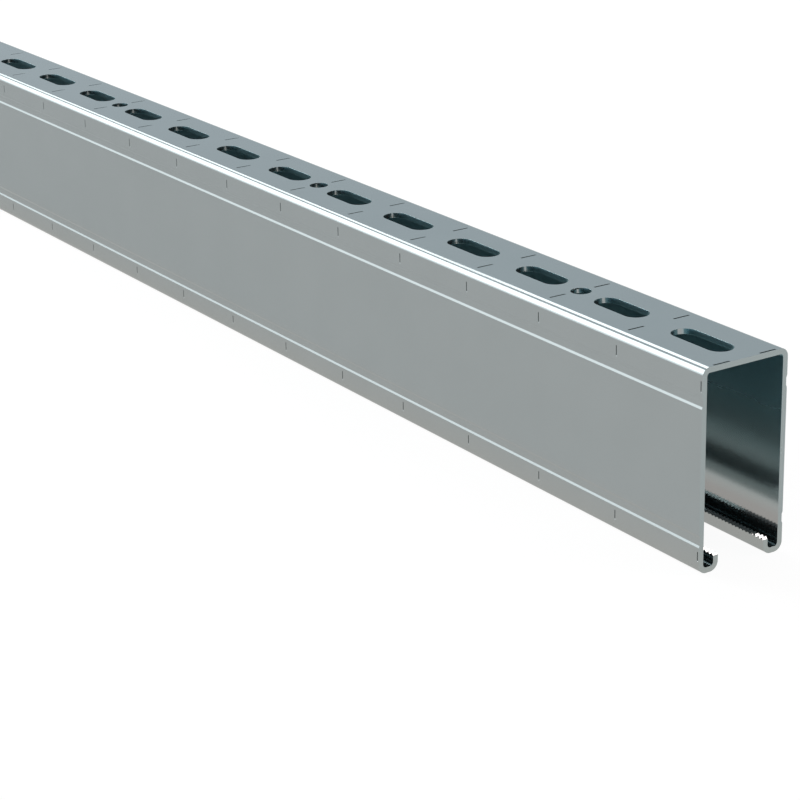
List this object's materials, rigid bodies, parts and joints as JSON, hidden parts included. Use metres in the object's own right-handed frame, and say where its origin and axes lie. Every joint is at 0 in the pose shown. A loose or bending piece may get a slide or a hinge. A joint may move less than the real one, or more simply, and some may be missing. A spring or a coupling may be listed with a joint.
{
  "type": "strut channel",
  "caption": "Deep zinc-coated steel strut channel with slots and round holes along its web, grooved side walls and inturned lips with toothed edges.",
  "frame": {"origin": "centre of the bounding box's bottom, midway along the channel on the plane that the lips stand on", "axes": "+X along the channel towards the sawn end that the picture shows, +Y across it towards the wall at the back of the picture, +Z from the open side up to the slotted web"},
  "size_m": [1, 0.041, 0.082],
  "materials": {
    "zinc_steel": "satin zinc coating"
  },
  "bodies": {
    "root": {"strut_channel": "zinc_steel"}
  },
  "joints": []
}
